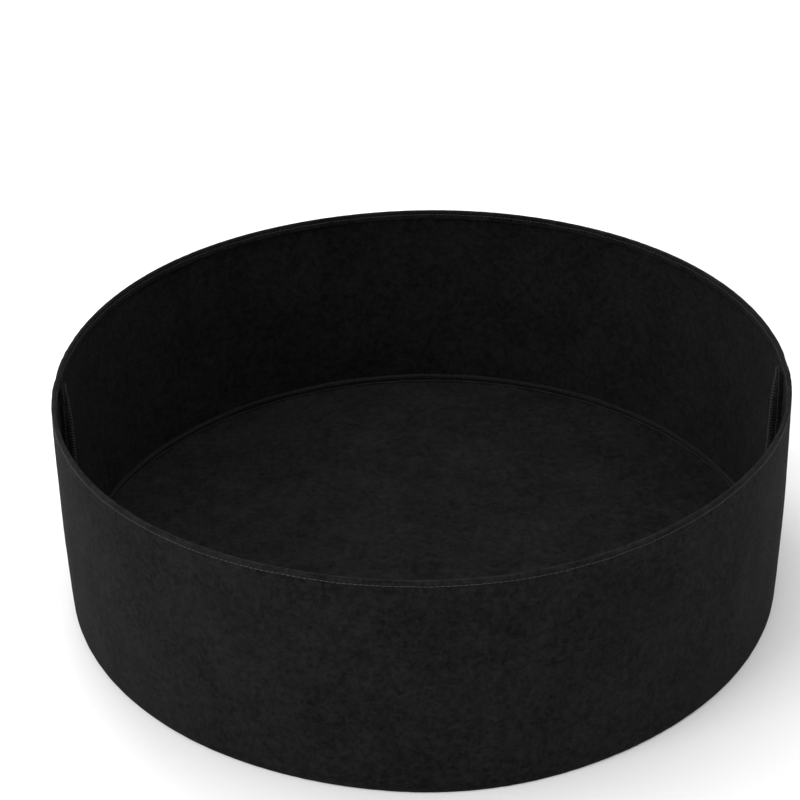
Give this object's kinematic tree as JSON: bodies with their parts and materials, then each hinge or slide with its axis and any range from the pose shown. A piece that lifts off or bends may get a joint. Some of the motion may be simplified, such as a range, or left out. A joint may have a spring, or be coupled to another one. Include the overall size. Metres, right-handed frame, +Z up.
{
  "type": "fabric grow bag",
  "caption": "Shallow round planter bag sewn from black felt, with a turned-in rim hem, upright side seams and a flat round base.",
  "frame": {"origin": "on the ground, at the middle of the round base", "axes": "+Z up along the bag's own axis, -Y towards the viewer of the front panel, X through the two side seams"},
  "size_m": [0.91, 0.91, 0.285],
  "materials": {
    "wall_felt": "matte black needle-punched felt",
    "base_felt": "matte black needle-punched felt",
    "thread": "black polyester sewing thread with a slight sheen"
  },
  "bodies": {
    "root": {"wall_panel_front": "wall_felt", "wall_panel_back": "wall_felt", "base_panel": "base_felt", "rim_needle_thread": "thread", "rim_bobbin_thread": "thread", "side_seam_needle_thread_left": "thread", "side_seam_bobbin_thread_left": "thread", "side_seam_overlock_thread_left": "thread", "side_seam_needle_thread_right": "thread", "side_seam_bobbin_thread_right": "thread", "side_seam_overlock_thread_right": "thread", "base_seam_needle_thread": "thread", "base_seam_bobbin_thread": "thread", "base_seam_overlock_thread": "thread"}
  },
  "joints": []
}
